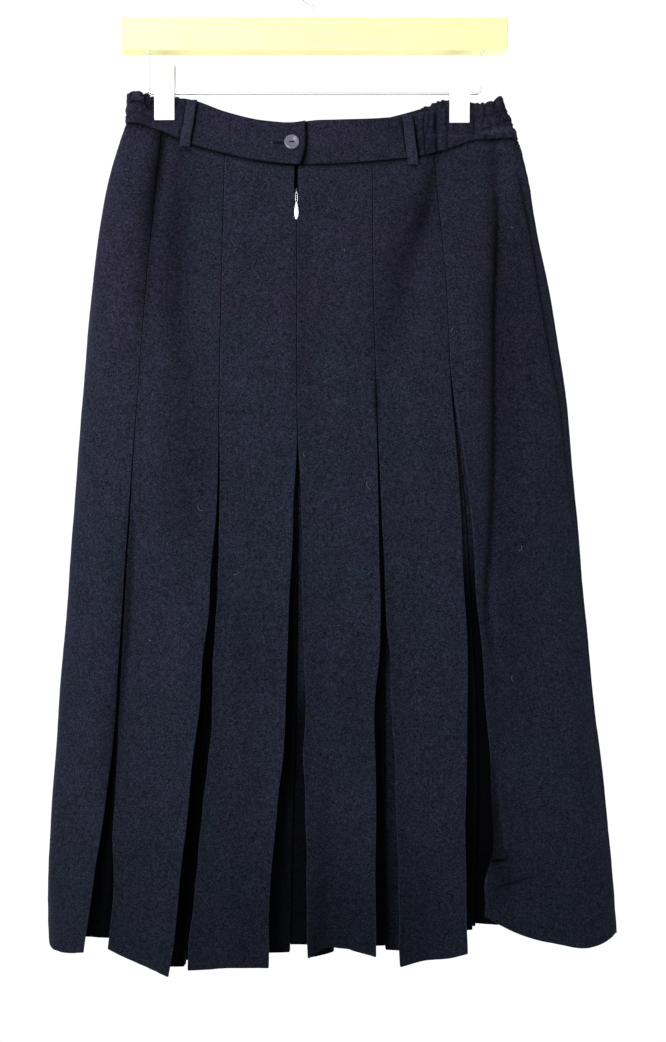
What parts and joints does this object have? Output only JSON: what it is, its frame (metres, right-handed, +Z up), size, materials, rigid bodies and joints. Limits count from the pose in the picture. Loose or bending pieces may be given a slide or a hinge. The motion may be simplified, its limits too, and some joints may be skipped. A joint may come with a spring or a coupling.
{
  "type": "pleated midi skirt on a clip hanger",
  "caption": "Dark wool midi skirt with inverted pleats, a waistband elasticated at the sides, belt loops, a button and a zip, hung from a wooden bar hanger by sliding clips.",
  "frame": {"origin": "top of the inside of the hanger's hook, where a rail carries it", "axes": "+Z up, +X to the viewer's right when the side with the zip is seen, -Y out of that side"},
  "size_m": [0.5207, 0.1222, 0.9207],
  "materials": {
    "skirt_cloth": "dark navy wool crepe, matt with a soft sheen",
    "button": "satin",
    "zip_tape": "woven tape",
    "zip_metal": "satin",
    "hanger_wood": "clear varnished pine",
    "clip_plastic": "white",
    "hanger_wire": "plated"
  },
  "bodies": {
    "skirt": {"front_gore_1": "skirt_cloth", "front_gore_2": "skirt_cloth", "front_gore_3": "skirt_cloth", "front_gore_4": "skirt_cloth", "front_gore_5": "skirt_cloth", "front_gore_6": "skirt_cloth", "back_gore_1": "skirt_cloth", "back_gore_2": "skirt_cloth", "back_gore_3": "skirt_cloth", "back_gore_4": "skirt_cloth", "back_gore_5": "skirt_cloth", "back_gore_6": "skirt_cloth", "waistband_front_left": "skirt_cloth", "waistband_front_right": "skirt_cloth", "waistband_elastic_left": "skirt_cloth", "waistband_elastic_right": "skirt_cloth", "waistband_back": "skirt_cloth", "belt_loop_front_left": "skirt_cloth", "belt_loop_front_right": "skirt_cloth", "belt_loop_back_left": "skirt_cloth", "belt_loop_back_right": "skirt_cloth", "button": "button", "zip_tape_left": "zip_tape", "zip_tape_right": "zip_tape", "zip_slider": "zip_metal", "hanger_bar": "hanger_wood", "hanger_hook": "hanger_wire", "hanger_rod": "hanger_wire", "clip_left_front_jaw": "clip_plastic", "clip_left_back_jaw": "clip_plastic", "clip_left_spring": "hanger_wire", "clip_right_front_jaw": "clip_plastic", "clip_right_back_jaw": "clip_plastic", "clip_right_spring": "hanger_wire"},
    "zip_pull": {"zip_pull": "zip_metal"}
  },
  "joints": [
    {"name": "zip_pull_swing", "type": "hinge", "parent": "skirt", "child": "zip_pull", "pos_m": [-0.01561, -0.0197, -0.22278], "axis": [-1, 0, 0], "range_deg": [0, 165]}
  ]
}
